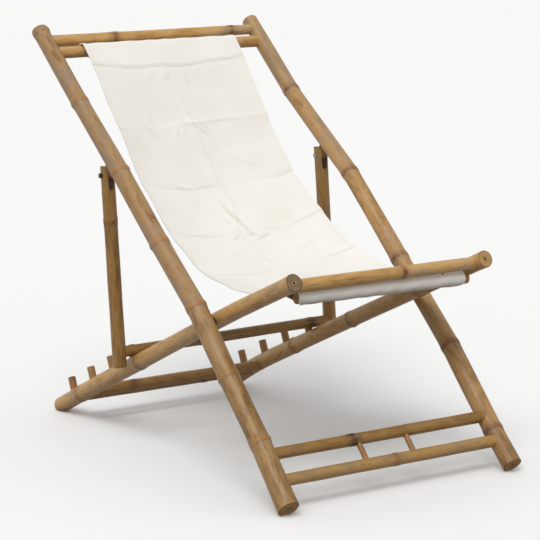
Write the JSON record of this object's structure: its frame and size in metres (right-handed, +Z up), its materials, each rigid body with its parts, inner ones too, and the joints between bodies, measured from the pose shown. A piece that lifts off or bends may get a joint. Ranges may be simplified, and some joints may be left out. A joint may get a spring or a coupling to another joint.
{
  "type": "folding recliner",
  "caption": "Folding deck recliner: two crossed frames of solid bamboo poles, a hinged rear prop that rests against pegs, and a hanging canvas sling seat.",
  "frame": {"origin": "on the floor, half way between the two sides and half way from front to back", "axes": "+Z up, -Y the way the sitter faces, +X towards the side that is on the right when the seat is seen from the front"},
  "size_m": [0.6057, 1.0402, 0.9051],
  "materials": {
    "bamboo_pole": "lacquered solid bamboo pole, tan with brown node rings",
    "bamboo_bar": "thin lacquered bamboo pole, golden brown",
    "bamboo_dowel": "short bamboo dowel",
    "canvas": "plain woven cotton canvas, undyed white",
    "bright_steel": "dull plated steel",
    "dark_steel": "darkened steel"
  },
  "bodies": {
    "back_frame": {"back_rail_left": "bamboo_pole", "back_rail_right": "bamboo_pole", "head_bar": "bamboo_bar", "head_sling_rod": "bamboo_bar", "foot_bar_upper": "bamboo_bar", "foot_bar_lower": "bamboo_bar", "foot_spindle_left": "bamboo_dowel", "foot_spindle_right": "bamboo_dowel", "prop_tongue_left": "bamboo_bar", "prop_tongue_right": "bamboo_bar", "pivot_pin_left": "bright_steel", "pivot_pin_right": "bright_steel", "pivot_spacer_left": "dark_steel", "pivot_spacer_right": "dark_steel", "canvas_sling": "canvas"},
    "seat_frame": {"seat_rail_left": "bamboo_pole", "seat_rail_right": "bamboo_pole", "seat_front_bar": "bamboo_bar", "seat_sling_rod": "bamboo_bar", "rear_bar_upper": "bamboo_bar", "rear_bar_lower": "bamboo_bar", "peg_left_1": "bamboo_dowel", "peg_left_2": "bamboo_dowel", "peg_left_3": "bamboo_dowel", "peg_left_4": "bamboo_dowel", "peg_right_1": "bamboo_dowel", "peg_right_2": "bamboo_dowel", "peg_right_3": "bamboo_dowel", "peg_right_4": "bamboo_dowel", "rod_pin_left": "bamboo_dowel", "rod_pin_right": "bamboo_dowel"},
    "prop_frame": {"prop_bar": "bamboo_bar", "prop_leg_left": "bamboo_bar", "prop_leg_right": "bamboo_bar", "prop_bolt_left": "bright_steel", "prop_bolt_right": "bright_steel", "prop_nut_left": "dark_steel", "prop_nut_right": "dark_steel"}
  },
  "joints": [
    {"name": "seat_fold", "type": "hinge", "parent": "back_frame", "child": "seat_frame", "pos_m": [0, -0.19238, 0.33135], "axis": [1, 0, 0], "range_deg": [0, 41], "deforming": ["canvas_sling"]},
    {"name": "prop_swing", "type": "hinge", "parent": "back_frame", "child": "prop_frame", "pos_m": [0, 0.19485, 0.59658], "axis": [1, 0, 0], "range_deg": [0, 131.2]}
  ],
  "couplings": [
    {"joint": "prop_swing", "follows": "seat_fold", "ratio": 3.2}
  ]
}
